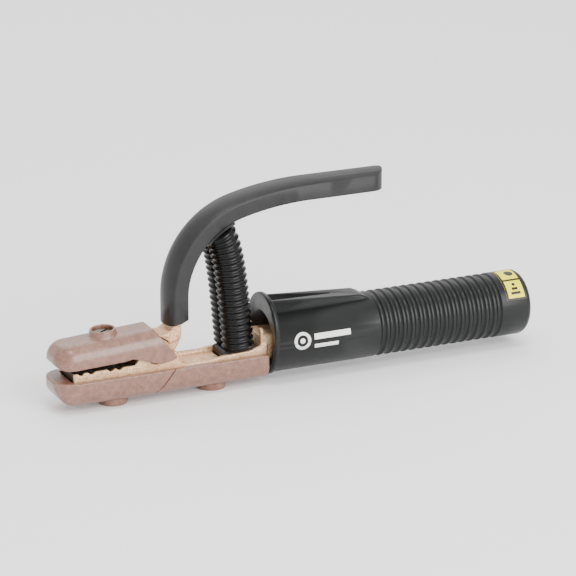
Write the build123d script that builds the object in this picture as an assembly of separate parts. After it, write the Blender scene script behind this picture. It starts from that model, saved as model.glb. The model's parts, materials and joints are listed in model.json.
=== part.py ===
from build123d import *
import math
import os

# Tong-type welding electrode holder. Millimetres.
# Every piece is drawn from the handle: x runs back from the handle's front face, z up from its axis,
# and PLACE then moves it to the middle of the holder's length, standing on its lower screw bosses.
NOSE_X = -107.0
HANDLE_LENGTH = 139.0
BOSS_BOTTOM_Z = -19.5
PLACE = Location((-(NOSE_X + HANDLE_LENGTH) / 2, 0, -BOSS_BOTTOM_Z))

# Handle
HANDLE_R = 16.0
HANDLE_BORE_R = 12.5
FLANGE_R = 16.6
FLANGE_RISE = 6.5
FLANGE_THICK = 2.2
GROOVE_COUNT = 15
GROOVE_PITCH = 4.5
GROOVE_FIRST_X = 57.5
GROOVE_R = 1.6
GROOVE_DEPTH = 1.2
LABEL_THICK = 0.2

# Body casting
CAST_HALF_W = 9.0
CAST_BOTTOM_Z = -13.0
JAW_FRONT_X = -98.3
JAW_TOP_Z = -0.1
TOOTH_X = (-94.6, -89.5, -79.9, -75.7)
TOOTH_HALF_W = 1.7
TOOTH_DEPTH = 1.4
TRAY_HALF_W = 7.0
TRAY_FLOOR_Z = -6.5
STEP_FLOOR_Z = -4.6
DIMPLE_X = (-40.5, -33.0, -30.2)
DIMPLE_Y = -1.5
DIMPLE_R = 1.3
UPPER_JAW_Z = 0.25
UPPER_BAR_HALF_W = 4.8
UPPER_CAST_HALF_W = 8.6
EDGE_LEG = 2.6
NECK_HALF_W = 5.8
NECK_R = 13.8
SHANK_HALF = 8.0
SHANK_END_X = 52.0
CABLE_BORE_R = 6.0
CABLE_BORE_DEPTH = 40.0
CABLE_SCREW_X = (24.0, 40.0)
CABLE_SCREW_R = 3.0
SCREW_PAD_TOP_Z = 11.2
SHANK_NECK_TOP_Z = 4.5
LUG_INNER_Y = 5.2

# Hinge
PIVOT = (-57.0, 4.0)
PIN_R = 3.0
BUSH_R = 4.3
RUNNING_GAP = 0.05
EAR_R = 7.2
EAR_INNER_Y = 5.3
KNUCKLE_HALF_W = 5.0
OPENING_DEG = 18.0

# Moulded insulators
SHELL_HALF_W = 12.0
SHELL_TOP_Z = -4.0
SHELL_BOTTOM_Z = -16.0
SHELL_GAP = 0.15
SHELL_ROUND = 8.0
NOSE_CORNER_R = 9.0
LOWER_ROUND = 6.5
CAVITY_FRONT_X = -98.9
SEAM_TOP_X = -49.0
SEAM_BOTTOM_X = -59.1
SEAM_GAP = 0.3
BOSS_R = 7.0
LOWER_BOSS_X = (-76.0, -26.3)
UPPER_BOSS_X = -80.3
RECESS_R = 5.0
SCREW_R = 2.5
HEAD_R = 4.6
UPPER_PITCH_DEG = 3.5
UPPER_NOSE_X = -107.1

# Lever
FOOT_X = -44.6
FOOT_Z = 27.7
BEND_R = 41.3
BEND_DEG = 75.5
CROWN_R = 143.6
COVER_OUT = 4.0
COVER_CROWN = 5.8
COVER_SHOULDER = 3.0
COVER_HALF_W = 8.5
COVER_TIP_HALF_W = 7.5
COVER_TIP_X = 62.3
COVER_WALL = 1.9
CORE_END_X = 56.0
CORE_HALF_W = 6.0
CORE_IN = 2.6
CORE_OUT = COVER_OUT - COVER_WALL - 0.15
BEND_CENTRE = (FOOT_X + BEND_R, FOOT_Z)
CROWN_CENTRE = (BEND_CENTRE[0] + (CROWN_R - BEND_R) * math.cos(math.radians(BEND_DEG)),
                FOOT_Z - (CROWN_R - BEND_R) * math.sin(math.radians(BEND_DEG)))
TAIL_Z = CROWN_CENTRE[1] + CROWN_R
LEVER_SCREW_X = (24.0, 48.0)

# Springs and their boot
SPRING_Y = 4.7
SPRING_R = 3.4
WIRE_R = 0.75
SPRING_TURNS = 14
BOOT_PEAK_R = 7.7
BOOT_VALLEY_R = 6.7
BOOT_BORE_R = 5.0
BOOT_RIBS = 19
SEAT_PAD = 1.2
BOOT_LINE = ((-14.3, 0.0), (-17.0, 23.3), (-18.4, 35.9), (-20.1, 46.1), (-22.0, 53.8), (-24.6, 59.1))


def side(points, half_width):
    """A flat side outline in x and z, thickened both ways from the middle plane."""
    return extrude(Plane.XZ * Polygon(*points, align=None), amount=half_width, both=True)


def side_disc(x, z, radius, y0, y1):
    """A cylinder lying across the holder, from y0 to y1."""
    return Pos(x, (y0 + y1) / 2, z) * Rot(90, 0, 0) * Cylinder(radius, y1 - y0)


def upright(x, y, z0, z1, radius):
    """A vertical cylinder from z0 to z1."""
    return Pos(x, y, (z0 + z1) / 2) * Cylinder(radius, z1 - z0)


def block(x0, x1, half_y, z0, z1):
    """A box centred on the middle plane."""
    return Pos((x0 + x1) / 2, 0, (z0 + z1) / 2) * Box(x1 - x0, 2 * half_y, z1 - z0)


def toothed_line(z, depth):
    """The outline of a row of jaw grooves, from front to back."""
    points = []
    for x in TOOTH_X:
        points += [(x - TOOTH_HALF_W, z), (x, z + depth), (x + TOOTH_HALF_W, z)]
    return points


def quarter(cx, cz, rx, rz, start, stop, count=6):
    """Points on part of an ellipse in the side view, angles in degrees from straight ahead of the nose."""
    angles = [math.radians(start + (stop - start) * i / count) for i in range(count + 1)]
    return [(cx - rx * math.cos(a), cz + rz * math.sin(a)) for a in angles]


def edge_wedges(x, z, half_width, length, leg, pitch):
    """Two square bars laid along the upper corners of a bar, to take its edges off."""
    across = leg * math.sqrt(2)
    bars = Part()
    for s in (-1, 1):
        bars += Pos(x, s * half_width, z) * Rot(0, -pitch, 0) * Rot(45, 0, 0) * Box(length, across, across)
    return bars


def slotted_head(x, z, up, radius, thick):
    """A round screw head with a straight slot; up is +1 or -1 for the way it faces."""
    head = upright(x, 0, min(z, z + up * thick), max(z, z + up * thick), radius)
    top = z + up * thick
    return head - Pos(x, 0, top) * Rot(0, 0, 35) * Box(2 * radius + 1, 1.2, 1.8)


def body_casting():
    """Lower jaw, hinge ears, spring tray and cable shank in one casting."""
    outline = [(JAW_FRONT_X, CAST_BOTTOM_Z), (JAW_FRONT_X, JAW_TOP_Z)]
    outline += toothed_line(JAW_TOP_Z, -TOOTH_DEPTH)
    outline += [(-68, JAW_TOP_Z), (-65.8, 2.7), (-63.5, 3.6), (-47, 3.6), (-45, -2), (-43.5, -3.2),
                (-32, -3.2), (-22, -2), (-9, -1.4), (-3, 0.2), (-1, 0.9), (-1, CAST_BOTTOM_Z)]
    solid = side(outline, CAST_HALF_W)
    px, pz = PIVOT
    solid += side_disc(px, pz, EAR_R, -CAST_HALF_W, CAST_HALF_W)
    solid -= block(-69.5, -40, EAR_INNER_Y, TRAY_FLOOR_Z, 30)
    solid -= block(-45, -4, TRAY_HALF_W, TRAY_FLOOR_Z, 30)
    shank = block(-4, SHANK_END_X, SHANK_HALF, -SHANK_HALF, SHANK_HALF)
    solid += chamfer(shank.edges().filter_by(Axis.X), 1.2)
    solid -= block(-2.2, 10.5, 20, SHANK_NECK_TOP_Z, 20) + block(-5, -2, LUG_INNER_Y, SHANK_NECK_TOP_Z, 20)
    solid += block(CABLE_SCREW_X[0] - 8, CABLE_SCREW_X[1] + 8, 5, 6, SCREW_PAD_TOP_Z)
    solid += block(-44.6, -22.7, TRAY_HALF_W + 0.5, TRAY_FLOOR_Z - 1, STEP_FLOOR_Z)
    for x in DIMPLE_X:
        solid -= Pos(x, DIMPLE_Y, STEP_FLOOR_Z + 0.4) * Sphere(DIMPLE_R)
    for s in (-1, 1):
        y0, y1 = sorted((s * 7.4, s * 10))
        solid -= side_disc(px, pz, RECESS_R, y0, y1)
    solid -= side_disc(px, pz, PIN_R + 0.02, -10, 10)
    socket = Pos(SHANK_END_X - CABLE_BORE_DEPTH / 2, 0, 0) * Rot(0, 90, 0)
    solid -= socket * Cylinder(CABLE_BORE_R, CABLE_BORE_DEPTH)
    for x in CABLE_SCREW_X:
        solid -= upright(x, 0, 0, 20, CABLE_SCREW_R + RUNNING_GAP)
    for x in LOWER_BOSS_X:
        solid -= upright(x, 0, -14, -6.9, SCREW_R + 0.02)
    solid -= upright(7, 0, -9, -3, 2.02)
    low = solid.edges().filter_by(Axis.X).filter_by(lambda e: abs(e.center().Z - CAST_BOTTOM_Z) < 0.01)
    return chamfer(low, 1.5)


def nosed_bar(tip_x, z0, z1, rim, radius):
    """A long bar with a round nose in plan and every long edge at height rim rounded over, nose included."""
    bar = block(tip_x, tip_x + 130, SHELL_HALF_W, z0, z1)
    bar = fillet(bar.edges().filter_by(Axis.Z).group_by(Axis.X)[0], NOSE_CORNER_R)
    rim_edges = [e for e in bar.edges() if abs(e.center().Z - rim) < 0.01 and e.center().X < tip_x + 120]
    return fillet(rim_edges, radius)


def lower_shell():
    """The lower moulding's full-length outside, before it is divided at the seam."""
    return nosed_bar(NOSE_X, SHELL_BOTTOM_Z, 12, SHELL_BOTTOM_Z, LOWER_ROUND)


def lower_cavity():
    """Room for the casting inside the lower mouldings."""
    return block(CAVITY_FRONT_X, 20, CAST_HALF_W + SHELL_GAP, CAST_BOTTOM_Z - SHELL_GAP, 20)


def lower_boss(x):
    return upright(x, 0, BOSS_BOTTOM_Z, -14.6, BOSS_R)


def lower_boss_cuts(x):
    return upright(x, 0, BOSS_BOTTOM_Z - 1, -16.5, RECESS_R) + upright(x, 0, -17, -12, SCREW_R + 0.2)


def lower_tip_insulator():
    """Moulded cover of the lower jaw, up to the slanted seam."""
    outline = [(NOSE_X, -4.6), (NOSE_X + 1, -3.6), (-98.6, -3.6), (-98.0, SHELL_TOP_Z)]
    outline += [(SEAM_TOP_X, SHELL_TOP_Z), (SEAM_BOTTOM_X, -16), (SEAM_BOTTOM_X, -20), (-96, -20)]
    outline += quarter(NOSE_X + 11, -4.8, 11, 11.3, -90, 0)[:-1]
    solid = lower_shell() & side(outline, 20)
    solid += lower_boss(LOWER_BOSS_X[0])
    return solid - lower_cavity() - lower_boss_cuts(LOWER_BOSS_X[0])


def lower_body_insulator():
    """Moulded cover of the spring tray, from the seam to the handle."""
    slant = (SEAM_TOP_X - SEAM_BOTTOM_X) / (SHELL_TOP_Z + 16)
    top_x, bottom_x = SEAM_TOP_X + SEAM_GAP, SEAM_BOTTOM_X + SEAM_GAP - slant
    outline = [(top_x, SHELL_TOP_Z), (-1.1, SHELL_TOP_Z), (-1.1, -17), (bottom_x, -17)]
    solid = lower_shell() & side(outline, 20)
    solid += lower_boss(LOWER_BOSS_X[1])
    return solid - lower_cavity() - lower_boss_cuts(LOWER_BOSS_X[1])


def lower_insulator_screws():
    """Two slotted screws that hold the lower mouldings to the casting."""
    screws = []
    for x in LOWER_BOSS_X:
        screw = slotted_head(x, -17.3, -1, HEAD_R, 1.9) + upright(x, 0, -17.4, -7.2, SCREW_R)
        screws.append(screw)
    return screws[0] + screws[1]


def lower_insulator_washers():
    """Flat washers under the two lower screw heads."""
    rings = [upright(x, 0, -17.28, -16.52, 4.8) - upright(x, 0, -20, -10, SCREW_R + 0.1)
             for x in LOWER_BOSS_X]
    return rings[0] + rings[1]


def pivot_pin():
    """Hinge pin with a retaining groove near each end."""
    px, pz = PIVOT
    pin = side_disc(px, pz, PIN_R, -8.8, 8.8)
    for s in (-1, 1):
        y0, y1 = sorted((s * 7.5, s * 8.3))
        pin -= side_disc(px, pz, PIN_R + 1, y0, y1) - side_disc(px, pz, PIN_R - 0.4, y0, y1)
    return chamfer(pin.edges().filter_by(GeomType.CIRCLE).group_by(Axis.Y)[0], 0.3)


def pivot_circlips():
    """Retaining rings in the pin's two grooves, each with a gap."""
    px, pz = PIVOT
    rings = []
    for s in (-1, 1):
        y0, y1 = sorted((s * 7.55, s * 8.25))
        ring = side_disc(px, pz, 4.5, y0, y1) - side_disc(px, pz, PIN_R - 0.36, y0, y1)
        rings.append(ring - Pos(px, s * 8, pz + 5) * Box(2.4, 3, 10))
    return rings[0] + rings[1]


def lower_spring_seat():
    """Insulating block in the tray with two spigots that locate the springs."""
    seat = block(-22.3, -5, TRAY_HALF_W - 0.2, TRAY_FLOOR_Z + 0.05, -0.7)
    seat = chamfer(seat.edges().group_by(Axis.Z)[-1], 0.8)
    seat -= upright(LOWER_BOSS_X[1], 0, -7, -4.5, 3.2)
    for s in (-1, 1):
        seat += upright(-14.3, s * SPRING_Y, -1, 3.5, 2.0)
    return seat


def boot_path(y):
    return Spline(*[(x, y, z) for x, z in BOOT_LINE], tangents=[(-0.06, 0, 1), (-0.5, 0, 0.866)])


def path_circle(path, t, radius):
    at = path @ t
    along = path % t
    return Plane(origin=at, x_dir=(0, 1, 0), z_dir=along) * Circle(radius)


def spring_boot():
    """One ribbed rubber boot with two lobes, one around each spring."""
    path = boot_path(-SPRING_Y)
    rings = []
    steps = 2 * BOOT_RIBS
    for i in range(steps + 1):
        radius = BOOT_PEAK_R if i % 2 else BOOT_VALLEY_R
        rings.append(path_circle(path, i / steps, radius))
    lobe = loft(rings, ruled=True)
    lobe -= loft([path_circle(path, i / 10, BOOT_BORE_R) for i in range(11)], ruled=True)
    half = lobe & (Pos(-20, -20, 30) * Box(60, 40, 100))
    half &= side_disc(*BEND_CENTRE, BEND_R - COVER_OUT - SEAT_PAD - 0.3, -30, 30)
    return half + mirror(half, Plane.XZ)


def spring_wire(y, turn_way):
    """Helical spring whose axis follows the boot's gentle bend."""
    path = boot_path(y)
    points = []
    per_turn = 8
    count = SPRING_TURNS * per_turn
    for i in range(count + 1):
        t = 0.02 + 0.92 * i / count
        at = path @ t
        along = path % t
        across = Vector(0, 1, 0)
        out = along.cross(across)
        a = turn_way * 2 * math.pi * i / per_turn
        points.append(at + across * (SPRING_R * math.cos(a)) + out * (SPRING_R * math.sin(a)))
    wire = Spline(*points)
    start = wire @ 0
    return sweep(Plane(origin=start, z_dir=wire % 0) * Circle(WIRE_R), path=wire)


def handle_profile():
    """Half section of the handle: barrel, ring grooves and rounded end."""
    wall = HANDLE_R - HANDLE_BORE_R
    section = Pos(HANDLE_LENGTH / 2, HANDLE_BORE_R + wall / 2) * Rectangle(HANDLE_LENGTH, wall)
    end = section.vertices().sort_by(lambda v: v.X + v.Y)[-1]
    section = fillet(end, 3.2)
    for i in range(GROOVE_COUNT):
        x = GROOVE_FIRST_X + i * GROOVE_PITCH
        section -= Pos(x, HANDLE_R + GROOVE_R - GROOVE_DEPTH) * Circle(GROOVE_R)
    lips = [v for v in section.vertices() if abs(v.Y - HANDLE_R) < 1e-4 and 50 < v.X < 125]
    return fillet(lips, 0.55)


def handle():
    """Ribbed moulded handle with a front flange and a top hump that houses the clamp screws."""
    solid = revolve(Plane.XZ * handle_profile(), Axis.X)
    flange = make_hull(Circle(FLANGE_R).edges() + (Pos(0, FLANGE_RISE) * Circle(FLANGE_R)).edges())
    flange = extrude(Plane.YZ * flange, amount=FLANGE_THICK)
    flange = fillet(flange.edges().group_by(Axis.X)[0] + flange.edges().group_by(Axis.X)[-1], 0.7)
    hump = side([(0.8, 6), (0.8, 20.6), (49.5, 17.4), (52.5, 16.2), (55, 13.5), (55, 6)], 6.5)
    long_edges = hump.edges().filter_by(lambda e: e.center().Z > 15.5 and abs(abs(e.center().Y) - 6.5) < 0.01)
    hump = fillet(long_edges.filter_by(lambda e: e.length > 3), 1.2)
    solid += flange + hump
    pocket = Polygon((3.4, -4.6), (36, -0.9), (36, 0.9), (3.4, 4.6), align=None)
    solid -= Pos(0, 0, 16.3) * extrude(pocket, amount=20)
    solid -= Pos(30, 0, 0) * Rot(0, 90, 0) * Cylinder(HANDLE_BORE_R, 80)
    arch = make_hull(Circle(HANDLE_BORE_R).edges() + (Pos(0, 2.1) * Circle(HANDLE_BORE_R)).edges())
    solid -= Pos(-2, 0, 0) * extrude(Plane.YZ * arch, amount=32)
    solid -= upright(7, 0, -30, -6, 2.2)
    solid -= upright(7, 0, -30, -14.2, 4.2)
    return solid


def handle_screw():
    """Screw that holds the handle on the shank, from below."""
    return slotted_head(7, -14.2, -1, 3.9, 1.6) + upright(7, 0, -14.21, -4.5, 2.0)


def rating_label():
    """Thin wrapped plate on the smooth end collar."""
    ring = Cylinder(HANDLE_R + LABEL_THICK, 11.0) - Cylinder(HANDLE_R + 0.01, 12)
    ring = Pos(130.6, 0, 0) * Rot(0, 90, 0) * ring
    start, stop = 22.0, 98.0
    rays = [math.radians(180 - stop + (stop - start) * i / 6) for i in range(7)]
    wedge = Polygon((0, 0), *[(30 * math.cos(a), 30 * math.sin(a)) for a in rays], align=None)
    return ring & (Pos(100, 0, 0) * extrude(Plane.YZ * wedge, amount=60))


def cable_screw(x):
    """Hexagon-socket screw that clamps the cable end in the shank."""
    screw = upright(x, 0, 6.3, 11.3, CABLE_SCREW_R)
    screw = chamfer(screw.edges().filter_by(GeomType.CIRCLE).group_by(Axis.Z)[0], 0.7)
    return screw - Pos(x, 0, 9.3) * extrude(RegularPolygon(1.7, 6), amount=3)


def lever_edges(offset, foot_z, tail_x):
    """Side line of the arm at an offset from its centre line: foot, bend, crown and straight tail."""
    def on_arc(centre, radius, degrees):
        a = math.radians(degrees)
        return centre[0] - (radius + offset) * math.cos(a), 0, centre[1] + (radius + offset) * math.sin(a)

    bend = [on_arc(BEND_CENTRE, BEND_R, BEND_DEG * k / 2) for k in range(3)]
    crown = [on_arc(CROWN_CENTRE, CROWN_R, BEND_DEG + (90 - BEND_DEG) * k / 2) for k in range(3)]
    foot, tail = (FOOT_X - offset, 0, foot_z), (tail_x, 0, TAIL_Z + offset)
    path = [Line(foot, bend[0]), ThreePointArc(*bend), ThreePointArc(*crown), Line(crown[2], tail)]
    return path, foot, tail


def lever_band(inner, outer, half_width, tail_x, foot_z=12.0):
    """Side band of the arm between two offsets from its centre line, thickened both ways."""
    outside, foot_out, tail_out = lever_edges(outer, foot_z, tail_x)
    inside, foot_in, tail_in = lever_edges(inner, foot_z, tail_x)
    face = make_face([*outside, Line(tail_out, tail_in), *inside, Line(foot_in, foot_out)])
    return extrude(face, amount=half_width, both=True)


def lever_casting():
    """Upper jaw, knuckle and curved arm core in one casting."""
    px, pz = PIVOT
    slope = math.tan(math.radians(OPENING_DEG + 1.0))
    bar = [(JAW_FRONT_X, UPPER_JAW_Z)] + toothed_line(UPPER_JAW_Z, TOOTH_DEPTH - 0.2)
    bar += [(-69.5, UPPER_JAW_Z), (-66.5, 4.2), (-60, 6), (JAW_FRONT_X, 6)]
    solid = side(bar, UPPER_BAR_HALF_W)
    jaw = [(JAW_FRONT_X, 3.4), (-72, 4.9), (-66.5, 5.2), (-50, 5.2), (-50, 10.4), (-58, 11.6),
           (JAW_FRONT_X, 9.6)]
    solid += side(jaw, UPPER_CAST_HALF_W) - edge_wedges(-80, 10.56, UPPER_CAST_HALF_W, 48, EDGE_LEG, 2.84)
    neck = [(px - 3, 4.2), (px, 4.2), (-45.6, 4.2 + 11.4 * slope)]
    neck += [(px + NECK_R * math.cos(math.radians(a)), 12 + NECK_R * math.sin(math.radians(a)))
             for a in range(-14, 19, 4)]
    neck += [(-46.6, 17.4), (-48.4, 13.4), (-51.0, 11.8), (-58, 11.6)]
    solid += side(neck, NECK_HALF_W)
    for s in (-1, 1):
        y0, y1 = sorted((s * KNUCKLE_HALF_W, s * 12))
        solid -= side_disc(px, pz, EAR_R + 0.4, y0, y1)
    heel = side_disc(px, 12, NECK_R, -KNUCKLE_HALF_W, KNUCKLE_HALF_W) & block(-67, -40, 6, -5, 11.5)
    solid += heel
    solid += lever_band(-CORE_IN, CORE_OUT, CORE_HALF_W, CORE_END_X, foot_z=15.5)
    solid -= side_disc(px, pz, BUSH_R + 0.01, -20, 20)
    solid -= upright(UPPER_BOSS_X, 0, 5.5, 20, SCREW_R + 0.02)
    for x in LEVER_SCREW_X:
        solid -= upright(x, 0, 60, 80, 1.52)
    return solid


def pivot_bush():
    """Plain bearing pressed into the lever's knuckle."""
    px, pz = PIVOT
    return side_disc(px, pz, BUSH_R, -4.95, 4.95) - side_disc(px, pz, PIN_R + RUNNING_GAP, -6, 6)


def upper_tip_insulator():
    """Moulded cover of the upper jaw with its side skirts over the hinge."""
    bar = nosed_bar(UPPER_NOSE_X + 91, -30, 0, 0, SHELL_ROUND)
    prism = Pos(-91, 0, 13.6) * Rot(0, -UPPER_PITCH_DEG, 0) * bar
    outline = quarter(-100.8, 5.8, 5.9, 3.5, 0, -90)
    outline += [(-74, 3.4), (-70, 4.1), (-65, 2.6), (-60, 0.7), (-56, -0.2), (-52, 0.2), (-48.6, 1.3),
                (-48, 2.4), (-58, 15.7), (-58, 20), (-110, 20), (-110, 5.8)]
    solid = prism & side(outline, 20)
    rise = math.tan(math.radians(UPPER_PITCH_DEG))
    roof = [(CAVITY_FRONT_X, -10), (CAVITY_FRONT_X, 10.1), (-30, 10.1 + 68.9 * rise), (-30, -10)]
    boss = Pos(UPPER_BOSS_X, 0, 14.2) * Rot(0, -UPPER_PITCH_DEG, 0)
    solid += boss * Pos(0, 0, 0.9) * Cone(BOSS_R, BOSS_R - 0.9, 4.2)
    roof_z = 10.1 + 8.9 * rise
    wedges = edge_wedges(-90, roof_z, CAST_HALF_W + 0.3, 46, EDGE_LEG, UPPER_PITCH_DEG)
    solid -= side(roof, CAST_HALF_W + 0.3) - wedges
    solid -= boss * (Pos(0, 0, 1.95) * Cylinder(RECESS_R, 5.1))
    return solid - upright(UPPER_BOSS_X, 0, 8, 20, SCREW_R + 0.2)


def upper_insulator_screw():
    """Slotted screw that holds the upper moulding to the lever."""
    head = slotted_head(UPPER_BOSS_X, 14.25, 1, HEAD_R - 0.2, 1.5)
    return head + upright(UPPER_BOSS_X, 0, 5.8, 14.3, SCREW_R)


def upper_insulator_washer():
    """Flat washer under the upper screw head."""
    ring = upright(UPPER_BOSS_X, 0, 13.93, 14.23, 4.6)
    return ring - upright(UPPER_BOSS_X, 0, 10, 20, SCREW_R + 0.1)


def lever_cover():
    """Moulded channel with a crowned back that covers the arm, open along its inner side."""
    path, start, _ = lever_edges(0, 12, 80)
    back = ThreePointArc((-COVER_HALF_W, COVER_SHOULDER), (0, COVER_CROWN), (COVER_HALF_W, COVER_SHOULDER))
    walls = Polyline((COVER_HALF_W, COVER_SHOULDER), (COVER_HALF_W, -COVER_OUT), (-COVER_HALF_W, -COVER_OUT),
                     (-COVER_HALF_W, COVER_SHOULDER))
    section = make_face([back, walls])
    section = fillet(section.vertices().group_by(Axis.Y)[-1], 1.6)
    section = fillet(section.vertices().group_by(Axis.Y)[0], 0.7)
    solid = sweep(Plane(origin=start, x_dir=(0, 1, 0), z_dir=(0, 0, 1)) * section, path=Wire(path))
    tip_x, tip_r = COVER_TIP_X, COVER_TIP_HALF_W
    corner = tip_x - tip_r
    outline = [(-60, -COVER_HALF_W), (-5, -COVER_HALF_W), (corner, -tip_r)]
    outline += [(corner + tip_r * math.sin(math.radians(a)), -tip_r * math.cos(math.radians(a)))
                for a in range(10, 180, 10)]
    outline += [(corner, tip_r), (-5, COVER_HALF_W), (-60, COVER_HALF_W)]
    solid = solid & extrude(Polygon(*outline, align=None), amount=120)
    solid -= side([(-60, 0), (-60, 14.6), (-49.5, 15.4), (-44.2, 16.7), (-38, 19.2), (-38, 0)], 20)
    solid -= lever_band(-12, COVER_OUT - COVER_WALL, CORE_HALF_W + 0.15, CORE_END_X + 0.5)
    for x in LEVER_SCREW_X:
        solid -= upright(x, 0, TAIL_Z, TAIL_Z + COVER_OUT - 0.7, 1.52)
    return solid


def lever_cover_screws():
    """Two screws driven from the inner side through the core into the cover."""
    low = TAIL_Z - CORE_IN
    screws = [slotted_head(x, low, -1, 2.8, 1.3) + upright(x, 0, low - 0.01, TAIL_Z + COVER_OUT - 0.8, 1.5)
              for x in LEVER_SCREW_X]
    return screws[0] + screws[1]


def upper_spring_seat():
    """Insulating saddle under the arm's bend that takes the upper ends of the springs."""
    cx, cz = BEND_CENTRE
    outer = BEND_R - COVER_OUT - 0.05
    end = boot_path(0) @ 1
    toward = math.degrees(math.atan2(end.Z - cz, end.X - cx))
    rays = [math.radians(toward + a) for a in (-12.5, 0, 12.5)]
    wedge = side([(cx, cz), *[(cx + 60 * math.cos(a), cz + 60 * math.sin(a)) for a in rays]], 20)
    saddle = side_disc(cx, cz, outer, -8.2, 8.2) - side_disc(cx, cz, outer - SEAT_PAD, -12, 12)
    stem = side_disc(cx, cz, BEND_R - CORE_IN - 0.05, -5.8, 5.8) - side_disc(cx, cz, outer - 0.2, -12, 12)
    seat = (saddle & wedge) + (stem & wedge)
    for s in (-1, 1):
        spigot = Plane(origin=end, x_dir=(0, 1, 0), z_dir=(cx - end.X, 0, cz - end.Z))
        seat += spigot * (Pos(s * SPRING_Y, 0, 3.2) * Cylinder(2.0, 4.0))
    return seat


NODES = {
    "body_casting": body_casting,
    "lower_tip_insulator": lower_tip_insulator,
    "lower_body_insulator": lower_body_insulator,
    "lower_insulator_screws": lower_insulator_screws,
    "lower_insulator_washers": lower_insulator_washers,
    "pivot_pin": pivot_pin,
    "pivot_circlips": pivot_circlips,
    "lower_spring_seat": lower_spring_seat,
    "spring_near": lambda: spring_wire(-SPRING_Y, 1),
    "spring_far": lambda: spring_wire(SPRING_Y, -1),
    "spring_boot": spring_boot,
    "handle": handle,
    "handle_screw": handle_screw,
    "rating_label": rating_label,
    "cable_screw_front": lambda: cable_screw(CABLE_SCREW_X[0]),
    "cable_screw_rear": lambda: cable_screw(CABLE_SCREW_X[1]),
    "lever_casting": lever_casting,
    "pivot_bush": pivot_bush,
    "upper_tip_insulator": upper_tip_insulator,
    "upper_insulator_screw": upper_insulator_screw,
    "upper_insulator_washer": upper_insulator_washer,
    "lever_cover": lever_cover,
    "lever_cover_screws": lever_cover_screws,
    "upper_spring_seat": upper_spring_seat,
}

os.makedirs("parts", exist_ok=True)
for name, make in NODES.items():
    solid = PLACE * make()
    export_step(solid, f"parts/{name}.step")
    box = solid.bounding_box()
    low, high = box.min, box.max
    print(f"{name:26s} solids {len(solid.solids())} volume {solid.volume:10.1f} "
          f"x {low.X:7.1f} {high.X:7.1f}  y {low.Y:6.1f} {high.Y:6.1f}  z {low.Z:6.1f} {high.Z:6.1f}")
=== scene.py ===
"""Looks of a tong-type welding electrode holder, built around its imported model."""

import json
import logging
import math
from dataclasses import dataclass
from enum import Enum

import bpy
from mathutils import Matrix, Vector


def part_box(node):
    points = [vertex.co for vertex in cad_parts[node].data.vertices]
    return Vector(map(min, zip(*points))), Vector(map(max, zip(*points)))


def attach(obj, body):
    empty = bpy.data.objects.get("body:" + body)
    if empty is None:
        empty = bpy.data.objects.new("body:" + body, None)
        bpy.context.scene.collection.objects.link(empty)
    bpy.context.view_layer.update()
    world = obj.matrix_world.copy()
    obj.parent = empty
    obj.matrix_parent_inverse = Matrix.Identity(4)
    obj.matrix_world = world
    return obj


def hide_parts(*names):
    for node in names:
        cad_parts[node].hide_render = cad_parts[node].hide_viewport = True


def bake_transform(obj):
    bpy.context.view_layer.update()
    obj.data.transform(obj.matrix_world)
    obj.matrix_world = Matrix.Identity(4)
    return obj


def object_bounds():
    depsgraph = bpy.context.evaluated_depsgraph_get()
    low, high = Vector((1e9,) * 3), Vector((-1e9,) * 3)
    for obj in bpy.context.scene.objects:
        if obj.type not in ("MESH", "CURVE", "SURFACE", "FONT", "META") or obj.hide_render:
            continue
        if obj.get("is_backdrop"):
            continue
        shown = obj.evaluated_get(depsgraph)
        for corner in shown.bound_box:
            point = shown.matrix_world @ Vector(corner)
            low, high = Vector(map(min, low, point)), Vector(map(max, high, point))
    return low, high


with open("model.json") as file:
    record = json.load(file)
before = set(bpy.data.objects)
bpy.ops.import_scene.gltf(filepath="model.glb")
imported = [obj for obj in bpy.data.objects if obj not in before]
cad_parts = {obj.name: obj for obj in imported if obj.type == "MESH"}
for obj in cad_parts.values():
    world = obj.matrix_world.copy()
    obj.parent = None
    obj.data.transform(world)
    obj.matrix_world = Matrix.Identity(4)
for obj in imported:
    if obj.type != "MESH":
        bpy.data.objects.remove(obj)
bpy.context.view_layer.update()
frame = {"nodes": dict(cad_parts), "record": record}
LOG = logging.getLogger("electrode_holder")

MM = 0.001
HANDLE_FLANGE_R = 16.6
MERGE_MM = 0.002
JOIN_MM = 0.01
BEND_CREASE_DEG = 60.0


class Body(Enum):
    """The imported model's rigid bodies that pieces ride on."""

    FIXED = "body"
    LEVER = "lever"


class Slot(Enum):
    """The record's material slots."""

    CASTING = "cast_copper_alloy"
    INSULATOR = "moulded_insulator"
    HANDLE = "handle_plastic"
    LEVER = "lever_plastic"
    RUBBER = "boot_rubber"
    SPRING = "spring_steel"
    ZINC = "zinc_steel"
    BRONZE = "bush_bronze"
    LABEL = "label_film"


def holder_point(x: float, y: float, z: float) -> Vector:
    """Turn a place measured from the handle into the frame.

    Args:
        x: Millimetres behind the handle's front face.
        y: Millimetres across, away from the near side.
        z: Millimetres above the handle's axis.

    Returns:
        The place in metres in the shared frame.
    """
    low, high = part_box("handle")
    axis_height = low.z + HANDLE_FLANGE_R * MM
    return Vector((low.x + x * MM, y * MM, axis_height + z * MM))


def linear(hex_colour: str) -> tuple[float, float, float, float]:
    """Turn an sRGB hex colour such as C8A078 into a linear colour.

    Args:
        hex_colour: Six hex digits.

    Returns:
        Red, green, blue and alpha.
    """
    parts = [int(hex_colour[i:i + 2], 16) / 255 for i in (0, 2, 4)]
    channels = [c / 12.92 if c <= 0.04045 else ((c + 0.055) / 1.055) ** 2.4 for c in parts]
    return channels[0], channels[1], channels[2], 1.0


def per_metre(size_mm: float) -> float:
    """Noise scale that gives features of a real size."""
    return 1000.0 / size_mm


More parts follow.
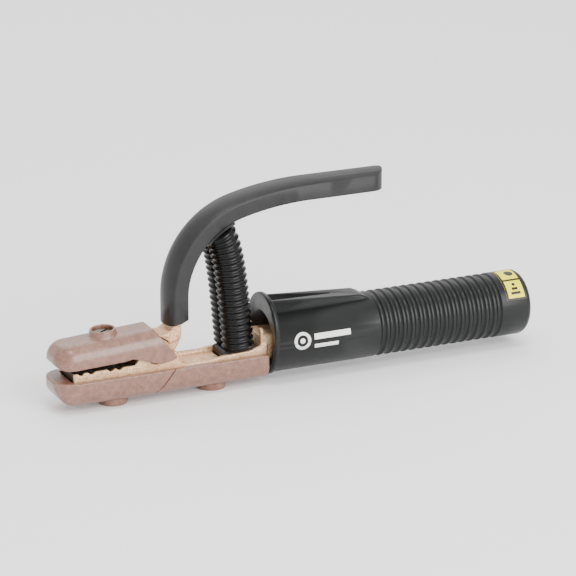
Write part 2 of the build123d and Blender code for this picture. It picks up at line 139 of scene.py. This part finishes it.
def add_node(tree: bpy.types.NodeTree, kind: str, settings: dict | None = None,
             inputs: dict | None = None) -> bpy.types.Node:
    """Add a shader node with its settings and links.

    Args:
        tree: The material's node tree.
        kind: The node's type name.
        settings: Attributes to set on the node.
        inputs: Input name or index, to a value or an output socket.

    Returns:
        The new node.
    """
    made = tree.nodes.new(kind)
    for name, value in (settings or {}).items():
        setattr(made, name, value)
    for name, value in (inputs or {}).items():
        if isinstance(value, bpy.types.NodeSocket):
            tree.links.new(value, made.inputs[name])
        else:
            made.inputs[name].default_value = value
    return made


@dataclass(frozen=True)
class Finish:
    """A surface with mottled colour, uneven gloss and a fine raised grain.

    The base class makes the surface; a subclass draws marks on it by changing colour_with_marks.
    """

    name: str
    light: str
    dark: str
    metallic: float = 0.0
    ior: float = 1.5
    specular: float = 0.5
    gloss_low: float = 0.35
    gloss_high: float = 0.5
    mottle_mm: float = 9.0
    grain_mm: float = 0.7
    grain_depth_mm: float = 0.02
    grain_share: float = 0.35
    coat: float = 0.0

    def build(self) -> bpy.types.Material:
        """Make the material.

        Returns:
            The finished material.
        """
        material = bpy.data.materials.new(self.name)
        material.use_nodes = True
        tree = material.node_tree
        shader = tree.nodes["Principled BSDF"]
        place = add_node(tree, "ShaderNodeTexCoord").outputs["Object"]
        mottle = add_node(tree, "ShaderNodeTexNoise", inputs={
            "Vector": place, "Scale": per_metre(self.mottle_mm), "Detail": 6.0, "Roughness": 0.62})
        grain = add_node(tree, "ShaderNodeTexNoise", inputs={
            "Vector": place, "Scale": per_metre(self.grain_mm), "Detail": 3.0, "Roughness": 0.55})
        both = add_node(tree, "ShaderNodeMix", {"data_type": "FLOAT"}, {
            0: self.grain_share, 2: mottle.outputs["Fac"], 3: grain.outputs["Fac"]})
        ramp = add_node(tree, "ShaderNodeValToRGB", inputs={"Fac": both.outputs[0]})
        ramp.color_ramp.elements[0].position = 0.34
        ramp.color_ramp.elements[0].color = linear(self.dark)
        ramp.color_ramp.elements[1].position = 0.66
        ramp.color_ramp.elements[1].color = linear(self.light)
        gloss = add_node(tree, "ShaderNodeMapRange", inputs={
            "Value": mottle.outputs["Fac"], "From Min": 0.3, "From Max": 0.7,
            "To Min": self.gloss_low, "To Max": self.gloss_high})
        bump = add_node(tree, "ShaderNodeBump", inputs={
            "Strength": 1.0, "Distance": self.grain_depth_mm * MM, "Height": grain.outputs["Fac"]})
        colour = self.colour_with_marks(tree, place, ramp.outputs["Color"])
        tree.links.new(colour, shader.inputs["Base Color"])
        tree.links.new(gloss.outputs["Result"], shader.inputs["Roughness"])
        tree.links.new(bump.outputs["Normal"], shader.inputs["Normal"])
        shader.inputs["Metallic"].default_value = self.metallic
        if self.metallic < 0.5:
            shader.inputs["IOR"].default_value = self.ior
            shader.inputs["Specular IOR Level"].default_value = self.specular
        shader.inputs["Coat Weight"].default_value = self.coat
        shader.inputs["Coat Roughness"].default_value = 0.22
        return material

    def colour_with_marks(self, tree: bpy.types.NodeTree, place: bpy.types.NodeSocket,
                          colour: bpy.types.NodeSocket) -> bpy.types.NodeSocket:
        """Return the colour as it is; a plain finish has no marks."""
        return colour


@dataclass(frozen=True)
class CastAlloy(Finish):
    """Copper alloy as sand cast: a coppery blush, and painted shade that blackens the bite of the jaws."""

    blush: str = "D0916E"
    blush_mm: float = 26.0
    # Painted shade: the near-black laid into the bite, where the gap between the jaws is in shadow.
    painted_shade_colour: str = "120C08"
    bite_end_x: float = -63.0
    bite_top_z: float = 4.6
    bite_half_width: float = 8.1
    painted_shade_share: float = 0.93

    def colour_with_marks(self, tree: bpy.types.NodeTree, place: bpy.types.NodeSocket,
                          colour: bpy.types.NodeSocket) -> bpy.types.NodeSocket:
        """Blend the blush over broad patches, then paint shade into the bite.

        Args:
            tree: The material's node tree.
            place: Object coordinates.
            colour: The casting skin's colour.

        Returns:
            The blended colour, with painted shade in the bite.
        """
        patches = add_node(tree, "ShaderNodeTexNoise", inputs={
            "Vector": place, "Scale": per_metre(self.blush_mm), "Detail": 3.0})
        amount = add_node(tree, "ShaderNodeMapRange", inputs={
            "Value": patches.outputs["Fac"], "From Min": 0.48, "From Max": 0.72,
            "To Min": 0.0, "To Max": 0.6})
        mixed = add_node(tree, "ShaderNodeMix", {"data_type": "RGBA"}, {
            0: amount.outputs["Result"], 6: colour, 7: linear(self.blush)})
        return self.paint_bite_shade(tree, place, mixed.outputs[2])

    def paint_bite_shade(self, tree: bpy.types.NodeTree, place: bpy.types.NodeSocket,
               colour: bpy.types.NodeSocket) -> bpy.types.NodeSocket:
        """Paint shade into the bite of the jaws: the gap under the upper jaw lies in shadow, so its colour
        is darkened here.

        Args:
            tree: The material's node tree.
            place: Object coordinates.
            colour: The clean casting's colour.

        Returns:
            The colour with soot between the jaws.
        """
        # Painted shade: a box mask over the bite, between the jaws, darkens the colour towards near-black.
        corner = holder_point(self.bite_end_x, self.bite_half_width, self.bite_top_z)
        axes = add_node(tree, "ShaderNodeSeparateXYZ", inputs={0: place})
        distance = add_node(tree, "ShaderNodeMath", {"operation": "ABSOLUTE"}, {0: axes.outputs["Y"]})
        amount = None
        for value, limit, fade in ((axes.outputs["X"], corner.x, 4.0), (distance.outputs[0], corner.y, 0.5),
                                   (axes.outputs["Z"], corner.z, 0.8)):
            part = add_node(tree, "ShaderNodeMapRange", inputs={
                "Value": value, "From Min": limit - fade * MM, "From Max": limit,
                "To Min": 1.0, "To Max": 0.0})
            part = part.outputs["Result"]
            if amount is not None:
                part = add_node(tree, "ShaderNodeMath", {"operation": "MULTIPLY"},
                                {0: amount, 1: part}).outputs[0]
            amount = part
        amount = add_node(tree, "ShaderNodeMath", {"operation": "MULTIPLY"},
                          {0: amount, 1: self.painted_shade_share}).outputs[0]
        mixed = add_node(tree, "ShaderNodeMix", {"data_type": "RGBA"},
                         {0: amount, 6: colour, 7: linear(self.painted_shade_colour)})
        return mixed.outputs[2]


@dataclass(frozen=True)
class Marked(Finish):
    """A finish with flat marks laid out on the handle's round surface.

    Marks are measured in millimetres along the handle and round it, from the middle of the near side.
    """

    ink: str = "F2F2EE"
    radius_mm: float = 16.0

    def marks(self) -> list[tuple]:
        """Return the marks to print, as (kind, numbers...) tuples."""
        return []

    def _math(self, tree: bpy.types.NodeTree, operation: str, a: object,
              b: object = 0.0) -> bpy.types.NodeSocket:
        """Return the result of one sum."""
        return add_node(tree, "ShaderNodeMath", {"operation": operation}, {0: a, 1: b}).outputs[0]

    def _between(self, tree: bpy.types.NodeTree, value: bpy.types.NodeSocket, low: float,
                 high: float) -> bpy.types.NodeSocket:
        """Make a mask of where a value lies between two limits.

        Args:
            tree: The material's node tree.
            value: The value to test.
            low: The lower limit.
            high: The upper limit.

        Returns:
            1 between the limits, and 0 elsewhere.
        """
        above = self._math(tree, "GREATER_THAN", value, low)
        below = self._math(tree, "LESS_THAN", value, high)
        return self._math(tree, "MULTIPLY", above, below)

    def colour_with_marks(self, tree: bpy.types.NodeTree, place: bpy.types.NodeSocket,
                          colour: bpy.types.NodeSocket) -> bpy.types.NodeSocket:
        """Print the marks over the base colour.

        Args:
            tree: The material's node tree.
            place: Object coordinates.
            colour: The unprinted colour.

        Returns:
            The printed colour.
        """
        origin = holder_point(0, 0, 0)
        axes = add_node(tree, "ShaderNodeSeparateXYZ", inputs={0: place})
        behind = self._math(tree, "SUBTRACT", axes.outputs["X"], origin.x)
        along = self._math(tree, "MULTIPLY", behind, 1000.0)
        height = self._math(tree, "SUBTRACT", axes.outputs["Z"], origin.z)
        nearness = self._math(tree, "MULTIPLY", axes.outputs["Y"], -1.0)
        angle = self._math(tree, "ARCTAN2", height, nearness)
        round_it = self._math(tree, "MULTIPLY", angle, self.radius_mm)
        total = None
        for kind, *numbers in self.marks():
            if kind == "bar":
                left, right, low, high = numbers
                mark = self._math(tree, "MULTIPLY", self._between(tree, along, left, right),
                                  self._between(tree, round_it, low, high))
            else:
                cx, cy, inner, outer = numbers
                dx = self._math(tree, "SUBTRACT", along, cx)
                dy = self._math(tree, "SUBTRACT", round_it, cy)
                squares = self._math(tree, "ADD", self._math(tree, "MULTIPLY", dx, dx),
                                     self._math(tree, "MULTIPLY", dy, dy))
                mark = self._between(tree, self._math(tree, "SQRT", squares), inner, outer)
            total = mark if total is None else self._math(tree, "MAXIMUM", total, mark)
        mixed = add_node(tree, "ShaderNodeMix", {"data_type": "RGBA"},
                         {0: total, 6: colour, 7: linear(self.ink)})
        return mixed.outputs[2]


@dataclass(frozen=True)
class PrintedPlastic(Marked):
    """Handle moulding with a plain ring and bars in white pad-printing ink."""

    def marks(self) -> list[tuple]:
        """Return a ring and two bars."""
        return [("ring", 14.3, 2.0, 2.8, 4.3), ("ring", 14.3, 2.0, 0.0, 1.3),
                ("bar", 20.5, 39.5, 1.9, 4.7), ("bar", 20.5, 33.0, -2.2, -0.4)]


@dataclass(frozen=True)
class LabelFilm(Marked):
    """Yellow printed film with two framed fields that hold plain shapes."""

    ink: str = "17170F"
    low_mm: float = 6.1
    pitch_mm: float = 10.5
    frame_mm: float = 1.1

    def marks(self) -> list[tuple]:
        """Lay out the frames and the plain shapes in each field.

        Returns:
            The marks, as (kind, numbers...) tuples.
        """
        left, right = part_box("rating_label")[0].x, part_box("rating_label")[1].x
        origin = holder_point(0, 0, 0).x
        left, right = (left - origin) / MM, (right - origin) / MM
        found = []
        for row in range(3):
            edge = self.low_mm + row * self.pitch_mm
            found.append(("bar", left, right, edge - 0.15, edge + self.frame_mm))
        for side in (left, right - self.frame_mm):
            found.append(("bar", side, side + self.frame_mm, self.low_mm, self.low_mm + 2 * self.pitch_mm))
        middle = (left + right) / 2
        lower = self.low_mm + 0.5 * self.pitch_mm
        found.append(("bar", middle - 2.6, middle + 2.6, lower - 2.4, lower - 1.0))
        found.append(("bar", middle - 1.6, middle + 1.6, lower - 0.1, lower + 1.3))
        found.append(("ring", middle, lower + 2.9, 0.0, 0.9))
        found.append(("ring", middle + 1.2, self.low_mm + 1.55 * self.pitch_mm, 0.0, 2.3))
        return found


def finishes() -> dict[Slot, bpy.types.Material]:
    """Make one material for each slot.

    Returns:
        Slot to material.
    """
    made = {
        # Sand-cast copper alloy: pale, grainy and half bright, with no polish, and painted shade in the
        # bite of the jaws.
        Slot.CASTING: CastAlloy("sand_cast_copper_alloy", "FFDFB6", "A2724E", metallic=0.6, gloss_low=0.42,
                                gloss_high=0.6, mottle_mm=4.0, grain_mm=0.75, grain_depth_mm=0.16,
                                grain_share=0.65),
        # Compression-moulded phenolic with mineral filler: brown-pink, soft sheen and slight speckle.
        Slot.INSULATOR: Finish("moulded_phenolic", "8E6555", "64402F", ior=1.6, gloss_low=0.3,
                               gloss_high=0.42, mottle_mm=3.0, grain_mm=0.8, grain_depth_mm=0.012,
                               coat=0.35),
        # Injection-moulded nylon: near black, satin, from a lightly etched mould.
        Slot.HANDLE: PrintedPlastic("moulded_black_nylon", "131414", "0D0E0E", specular=0.33, gloss_low=0.3,
                                    gloss_high=0.4, grain_mm=0.5, grain_depth_mm=0.006),
        # The same nylon in dark grey, a little duller.
        Slot.LEVER: Finish("moulded_grey_nylon", "272727", "1C1C1D", specular=0.32, gloss_low=0.38,
                           gloss_high=0.48, grain_mm=0.5, grain_depth_mm=0.006),
        # Moulded rubber: deep black with a tight bright highlight on each rib.
        Slot.RUBBER: Finish("moulded_black_rubber", "0A0A0B", "060607", specular=0.24, gloss_low=0.2,
                            gloss_high=0.32, grain_mm=0.6, grain_depth_mm=0.005),
        # Drawn spring wire under a film of oil.
        Slot.SPRING: Finish("oiled_spring_steel", "6D6D70", "4C4C50", metallic=1.0, gloss_low=0.25,
                            gloss_high=0.4),
        # Zinc plate: light grey metal, a little cloudy.
        Slot.ZINC: Finish("zinc_plated_steel", "8A7F74", "5A5148", metallic=1.0, gloss_low=0.28,
                          gloss_high=0.45, mottle_mm=3.0, grain_mm=0.5, grain_depth_mm=0.01),
        # Turned bearing bronze, warm and bright.
        Slot.BRONZE: Finish("turned_bronze", "C9A05E", "A88147", metallic=1.0, gloss_low=0.25,
                            gloss_high=0.4),
        # Screen-printed yellow film under a clear face.
        Slot.LABEL: LabelFilm("yellow_label_film", "FFF300", "F0E200", gloss_low=0.3, gloss_high=0.4,
                              grain_depth_mm=0.002),
    }
    return {slot: finish.build() for slot, finish in made.items()}


def only(piece: bpy.types.Object) -> None:
    """Select one object alone and make it active.

    Args:
        piece: The object to select.
    """
    bpy.ops.object.select_all(action="DESELECT")
    piece.select_set(True)
    bpy.context.view_layer.objects.active = piece


def apply_modifiers(piece: bpy.types.Object) -> None:
    """Apply every modifier on a piece, in order.

    Args:
        piece: The piece whose modifiers are used up.
    """
    only(piece)
    for modifier in list(piece.modifiers):
        bpy.ops.object.modifier_apply(modifier=modifier.name)


def place_in_mesh(piece: bpy.types.Object) -> None:
    """Move a piece's place into its mesh, so that its object sits at the origin."""
    only(piece)
    bpy.ops.object.transform_apply(location=True, rotation=True, scale=True)


def edit(piece: bpy.types.Object, action: str = "SELECT") -> None:
    """Enter edit mode with everything selected, or nothing.

    Args:
        piece: The piece to edit.
        action: SELECT for everything, DESELECT for nothing.
    """
    only(piece)
    bpy.ops.object.mode_set(mode="EDIT")
    bpy.ops.mesh.select_all(action=action)


def leave_edit() -> None:
    """Go back to object mode."""
    bpy.ops.object.mode_set(mode="OBJECT")


def tidy_shell(piece: bpy.types.Object, gap_mm: float = 0.001) -> None:
    """Merge doubled points and turn every face outwards.

    Args:
        piece: The closed mesh.
        gap_mm: Points nearer than this become one.
    """
    edit(piece)
    bpy.ops.mesh.remove_doubles(threshold=gap_mm * MM)
    bpy.ops.mesh.normals_make_consistent(inside=False)
    leave_edit()


def smooth(piece: bpy.types.Object, degrees: float = 35.0) -> None:
    """Shade a piece smooth, with edges sharper than an angle kept crisp."""
    only(piece)
    bpy.ops.object.shade_smooth_by_angle(angle=math.radians(degrees))


def dress(piece: bpy.types.Object, name: str, slot: Slot, material: bpy.types.Material,
          body: Body, *nodes: str) -> bpy.types.Object:
    """Name a finished piece, give it its material and body, and let it stand for its CAD nodes.

    Args:
        piece: The finished mesh.
        name: The piece's name.
        slot: The record's slot.
        material: The finish.
        body: The body it moves with.
        *nodes: The CAD nodes that it replaces.

    Returns:
        The same piece.
    """
    piece.name = name
    piece.data.materials.clear()
    piece.data.materials.append(material)
    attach(piece, body.value)
    if nodes:
        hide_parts(*nodes)
    LOG.info("%s: %d faces on %s", name, len(piece.data.polygons), body.value)
    return piece


def merged_copy(node: str) -> bpy.types.Object:
    """Copy a CAD node's mesh and join its loose triangles into one skin.

    Args:
        node: The CAD node.

    Returns:
        A new object, which is not yet on a body.
    """
    source = frame["nodes"][node]
    piece = bpy.data.objects.new(node + "_skin", source.data.copy())
    bpy.context.scene.collection.objects.link(piece)
    edit(piece)
    bpy.ops.mesh.remove_doubles(threshold=MERGE_MM * MM)
    leave_edit()
    return piece


def soften(piece: bpy.types.Object, voxel_mm: float, passes: int) -> None:
    """Round every edge a little, as a mould or a sand cast leaves it.

    Args:
        piece: The closed mesh.
        voxel_mm: Size of the new even faces.
        passes: How many times the skin is relaxed.
    """
    remesh = piece.modifiers.new("even_skin", "REMESH")
    remesh.mode = "VOXEL"
    remesh.voxel_size = voxel_mm * MM
    relax = piece.modifiers.new("relax", "SMOOTH")
    relax.factor = 0.5
    relax.iterations = passes
    apply_modifiers(piece)


def roughen(piece: bpy.types.Object, size_mm: float, depth_mm: float) -> None:
    """Press an uneven sand-mould surface into a casting.

    Args:
        piece: The casting.
        size_mm: Size of the unevenness.
        depth_mm: How deep it goes.
    """
    sand = bpy.data.textures.new(piece.name + "_sand", "CLOUDS")
    sand.noise_scale = size_mm * MM
    sand.noise_depth = 2
    displace = piece.modifiers.new("sand_skin", "DISPLACE")
    displace.texture = sand
    displace.texture_coords = "LOCAL"
    displace.strength = depth_mm * MM
    displace.mid_level = 0.6
    apply_modifiers(piece)


@dataclass
class Castings:
    """The two copper-alloy castings, with sand-cast skins."""

    voxel_mm: float = 0.42
    passes: int = 3
    sand_mm: float = 1.6
    sand_depth_mm: float = 0.16

    def build(self, materials: dict[Slot, bpy.types.Material]) -> None:
        """Make both castings.

        Args:
            materials: Slot to material.
        """
        for node, body in (("body_casting", Body.FIXED), ("lever_casting", Body.LEVER)):
            piece = merged_copy(node)
            soften(piece, self.voxel_mm, self.passes)
            roughen(piece, self.sand_mm, self.sand_depth_mm)
            bpy.ops.object.shade_smooth()
            dress(piece, node + "_sand_cast", Slot.CASTING, materials[Slot.CASTING], body, node)


@dataclass
class Insulators:
    """The three moulded covers of the jaws and the body."""

    voxel_mm: float = 0.32
    passes: int = 8

    def build(self, materials: dict[Slot, bpy.types.Material]) -> None:
        """Make the covers.

        Args:
            materials: Slot to material.
        """
        for node, body in (("upper_tip_insulator", Body.LEVER), ("lower_tip_insulator", Body.FIXED),
                           ("lower_body_insulator", Body.FIXED)):
            piece = merged_copy(node)
            soften(piece, self.voxel_mm, self.passes)
            bpy.ops.object.shade_smooth()
            dress(piece, node + "_moulding", Slot.INSULATOR, materials[Slot.INSULATOR], body, node)


@dataclass
class LeverCover:
    """The moulded channel over the curved arm."""

    crease_deg: float = 30.0

    def build(self, materials: dict[Slot, bpy.types.Material]) -> None:
        """Make the cover.

        Args:
            materials: Slot to material.
        """
        piece = merged_copy("lever_cover")
        smooth(piece, self.crease_deg)
        dress(piece, "lever_cover_moulding", Slot.LEVER, materials[Slot.LEVER], Body.LEVER, "lever_cover")


@dataclass
class SpringPack:
    """Two springs in one ribbed boot, bent along a curve from the body to the lever."""

    lobe_y: float = 4.7
    peak_r: float = 7.7
    valley_r: float = 6.7
    ribs: int = 19
    facets: int = 48
    wire_r: float = 0.75
    coil_r: float = 3.4
    turns: int = 14
    rings: int = 8
    wire_facets: int = 10
    steps_per_turn: int = 20
    foot: tuple[float, float] = (-14.3, 0.1)
    crest: tuple[float, float] = (-23.4, 57.2)

    def guide(self) -> bpy.types.Object:
        """Draw the boot's gently bent centre line.

        Returns:
            A curve from the foot to the crest.
        """
        bpy.ops.object.select_all(action="DESELECT")
        bpy.ops.curve.primitive_bezier_curve_add(location=(0, 0, 0))
        curve = bpy.context.object
        start, end = curve.data.splines[0].bezier_points
        foot = holder_point(self.foot[0], 0, self.foot[1])
        crest = holder_point(self.crest[0], 0, self.crest[1])
        for point, place, direction, reach in ((start, foot, Vector((-0.09, 0, 1)), 25 * MM),
                                               (end, crest, Vector((-0.53, 0, 0.85)), 10 * MM)):
            point.handle_left_type = point.handle_right_type = "FREE"
            point.tilt = math.pi / 2
            point.co = place
            point.handle_left = place - direction.normalized() * reach
            point.handle_right = place + direction.normalized() * reach
        curve.data.resolution_u = 32
        return curve

    def bend(self, piece: bpy.types.Object) -> None:
        """Bend an upright piece along the guide.

        Args:
            piece: A piece that stands on the origin, as long as the guide.
        """
        guide = self.guide()
        follow = piece.modifiers.new("follow", "CURVE")
        follow.object = guide
        follow.deform_axis = "POS_Z"
        apply_modifiers(piece)
        bpy.data.objects.remove(guide)

    def length(self) -> float:
        """Measure the guide.

        Returns:
            Its length in metres.
        """
        guide = self.guide()
        total = guide.data.splines[0].calc_length()
        bpy.data.objects.remove(guide)
        return total

    def rib(self, height: float) -> bpy.types.Object:
        """Model one rib of one lobe as a stack of rings.

        Args:
            height: The rib's pitch in metres.

        Returns:
            An open tube, one pitch tall.
        """
        bpy.ops.object.select_all(action="DESELECT")
        bpy.ops.mesh.primitive_circle_add(vertices=self.facets, radius=self.valley_r * MM,
                                          location=(0, -self.lobe_y * MM, 0))
        piece = bpy.context.object
        place_in_mesh(piece)
        edit(piece)
        previous = self.valley_r
        for i in range(1, self.rings + 1):
            turn = 2 * math.pi * i / self.rings
            radius = self.valley_r + (self.peak_r - self.valley_r) * (0.5 - 0.5 * math.cos(turn)) ** 1.5
            bpy.ops.mesh.extrude_region_move(TRANSFORM_OT_translate={"value": (0, 0, height / self.rings)})
            grow = radius / previous
            bpy.ops.transform.resize(value=(grow, grow, 1), center_override=(0, -self.lobe_y * MM, 0))
            previous = radius
        leave_edit()
        return piece

    def boot(self, material: bpy.types.Material) -> None:
        """Model the two-lobed boot.

        Args:
            material: The rubber.
        """
        length = self.length()
        piece = self.rib(length / self.ribs)
        stack = piece.modifiers.new("ribs", "ARRAY")
        stack.count = self.ribs
        stack.use_relative_offset = False
        stack.use_constant_offset = True
        stack.constant_offset_displace = (0, 0, length / self.ribs)
        stack.use_merge_vertices = True
        stack.merge_threshold = JOIN_MM * MM
        apply_modifiers(piece)
        edit(piece)
        bpy.ops.mesh.bisect(plane_co=(0, 0, 0), plane_no=(0, 1, 0), clear_outer=True)
        leave_edit()
        pair = piece.modifiers.new("other_lobe", "MIRROR")
        pair.use_axis = (False, True, False)
        pair.use_clip = True
        pair.merge_threshold = JOIN_MM * MM
        apply_modifiers(piece)
        edit(piece, "DESELECT")
        bpy.ops.mesh.select_non_manifold()
        bpy.ops.mesh.fill_holes(sides=0)
        leave_edit()
        self.bend(piece)
        tidy_shell(piece)
        smooth(piece, BEND_CREASE_DEG)
        self.dress_bending(piece, "spring_boot_rubber", material, "spring_boot")

    def coil(self, side: int, node: str, material: bpy.types.Material) -> None:
        """Model one coil spring.

        Args:
            side: -1 near, 1 far.
            node: The CAD node.
            material: The steel.
        """
        length = self.length() - 5.5 * MM
        bpy.ops.object.select_all(action="DESELECT")
        bpy.ops.mesh.primitive_circle_add(vertices=self.wire_facets, radius=self.wire_r * MM,
                                          fill_type="NGON", location=(self.coil_r * MM, 0, 0),
                                          rotation=(math.pi / 2, 0, 0))
        piece = bpy.context.object
        place_in_mesh(piece)
        wind = piece.modifiers.new("wind", "SCREW")
        wind.angle = 2 * math.pi * side
        wind.steps = wind.render_steps = self.steps_per_turn
        wind.iterations = self.turns
        wind.screw_offset = length / self.turns
        wind.use_merge_vertices = True
        apply_modifiers(piece)
        edit(piece)
        bpy.ops.transform.translate(value=(0, side * self.lobe_y * MM, 1.2 * MM))
        leave_edit()
        self.bend(piece)
        tidy_shell(piece)
        smooth(piece, BEND_CREASE_DEG)
        self.dress_bending(piece, node + "_coil", material, node)

    def dress_bending(self, piece: bpy.types.Object, name: str, material: bpy.types.Material,
                      node: str) -> None:
        """Dress a piece that bends between the body and the lever.

        Args:
            piece: The finished mesh.
            name: The piece's name.
            material: The finish.
            node: The CAD node that it replaces.
        """
        piece.name = name
        piece.data.materials.clear()
        piece.data.materials.append(material)
        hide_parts(node)
        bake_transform(piece)
        LOG.info("%s: %d faces", name, len(piece.data.polygons))

    def build(self, materials: dict[Slot, bpy.types.Material]) -> None:
        """Make the boot and both springs.

        Args:
            materials: Slot to material.
        """
        self.boot(materials[Slot.RUBBER])
        self.coil(-1, "spring_near", materials[Slot.SPRING])
        self.coil(1, "spring_far", materials[Slot.SPRING])


@dataclass
class Handle:
    """The ribbed handle."""

    crease_deg: float = 30.0

    def build(self, materials: dict[Slot, bpy.types.Material]) -> None:
        """Make the handle.

        Args:
            materials: Slot to material.
        """
        piece = merged_copy("handle")
        smooth(piece, self.crease_deg)
        dress(piece, "handle_moulding", Slot.HANDLE, materials[Slot.HANDLE], Body.FIXED, "handle")


def dress_cad_nodes(materials: dict[Slot, bpy.types.Material]) -> None:
    """Give every CAD node that stays in sight its finish.

    Args:
        materials: Slot to material.
    """
    slots = {entry["node"]: Slot(entry["material_slot"]) for entry in frame["record"]["subparts"]}
    for name, node in frame["nodes"].items():
        if node.hide_render:
            continue
        for index in range(max(1, len(node.material_slots))):
            if not node.material_slots:
                node.data.materials.append(materials[slots[name]])
            node.material_slots[index].material = materials[slots[name]]
        LOG.info("%s keeps its CAD shape", name)


@dataclass
class Studio:
    """Pale floor, soft lights and the camera."""

    azimuth_deg: float = 25.0
    elevation_deg: float = 18.0
    distance: float = 1.290
    lens_mm: float = 169.9
    aim_right_mm: float = 12.6
    aim_up_mm: float = 24.38

    def axes(self) -> tuple[Vector, Vector, Vector]:
        """Work out which way the camera faces.

        Returns:
            The camera's right, up and backward directions.
        """
        a, e = math.radians(self.azimuth_deg), math.radians(self.elevation_deg)
        right = Vector((math.cos(a), -math.sin(a), 0))
        back = Vector((-math.sin(a) * math.cos(e), -math.cos(a) * math.cos(e), math.sin(e)))
        return right, back.cross(right), back

    def camera(self) -> None:
        """Put the camera in front of the jaws' near side, a little above."""
        right, up, back = self.axes()
        target = holder_point(0, 0, 0) + right * self.aim_right_mm * MM + up * self.aim_up_mm * MM
        data = bpy.data.cameras.new("camera")
        data.lens = self.lens_mm
        data.sensor_width = 36.0
        data.clip_start = 0.05
        data.clip_end = 50.0
        made = bpy.data.objects.new("camera", data)
        bpy.context.scene.collection.objects.link(made)
        turn = Matrix((right, up, back)).transposed()
        made.matrix_world = Matrix.Translation(target + back * self.distance) @ turn.to_4x4()
        bpy.context.scene.camera = made

    def floor(self) -> None:
        """Lay a plain pale floor."""
        bpy.ops.object.select_all(action="DESELECT")
        bpy.ops.mesh.primitive_plane_add(size=12.0, location=(0, 0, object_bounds()[0][2]))
        piece = bpy.context.object
        piece.name = "floor"
        material = bpy.data.materials.new("pale_floor")
        material.use_nodes = True
        shader = material.node_tree.nodes["Principled BSDF"]
        shader.inputs["Base Color"].default_value = linear("FEFEFE")
        shader.inputs["Roughness"].default_value = 0.9
        piece.data.materials.append(material)
        piece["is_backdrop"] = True

    def area(self, name: str, place: tuple[float, float, float], size: float, power: float) -> None:
        """Hang one soft square light that faces the holder.

        Args:
            name: The light's name.
            place: Where it hangs, in metres.
            size: Its side, in metres.
            power: Its power, in watts.
        """
        data = bpy.data.lights.new(name, "AREA")
        data.size = size
        data.energy = power
        made = bpy.data.objects.new(name, data)
        bpy.context.scene.collection.objects.link(made)
        made.location = place
        made.rotation_euler = (-Vector(place)).to_track_quat("-Z", "Y").to_euler()

    def lights(self) -> None:
        """Hang the lights and brighten the surroundings."""
        self.area("key", (0.35, -1.4, 0.75), 1.2, 32.0)
        self.area("shoulder", (-0.15, -0.35, 1.3), 0.3, 5.0)
        self.area("backdrop", (0.2, 1.3, 1.5), 1.6, 14.0)
        world = bpy.data.worlds.new("studio")
        bpy.context.scene.world = world
        world.use_nodes = True
        sky = world.node_tree.nodes["Background"]
        sky.inputs["Color"].default_value = linear("FFFFFF")
        sky.inputs["Strength"].default_value = 1.3

    def build(self) -> None:
        """Set the whole stage."""
        self.floor()
        self.lights()
        self.camera()


def main() -> None:
    """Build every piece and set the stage."""
    logging.basicConfig(level=logging.INFO, format="%(message)s")
    materials = finishes()
    for assembly in (Castings(), Insulators(), LeverCover(), SpringPack(), Handle()):
        assembly.build(materials)
    dress_cad_nodes(materials)
    Studio().build()


if __name__ == "__main__":
    main()
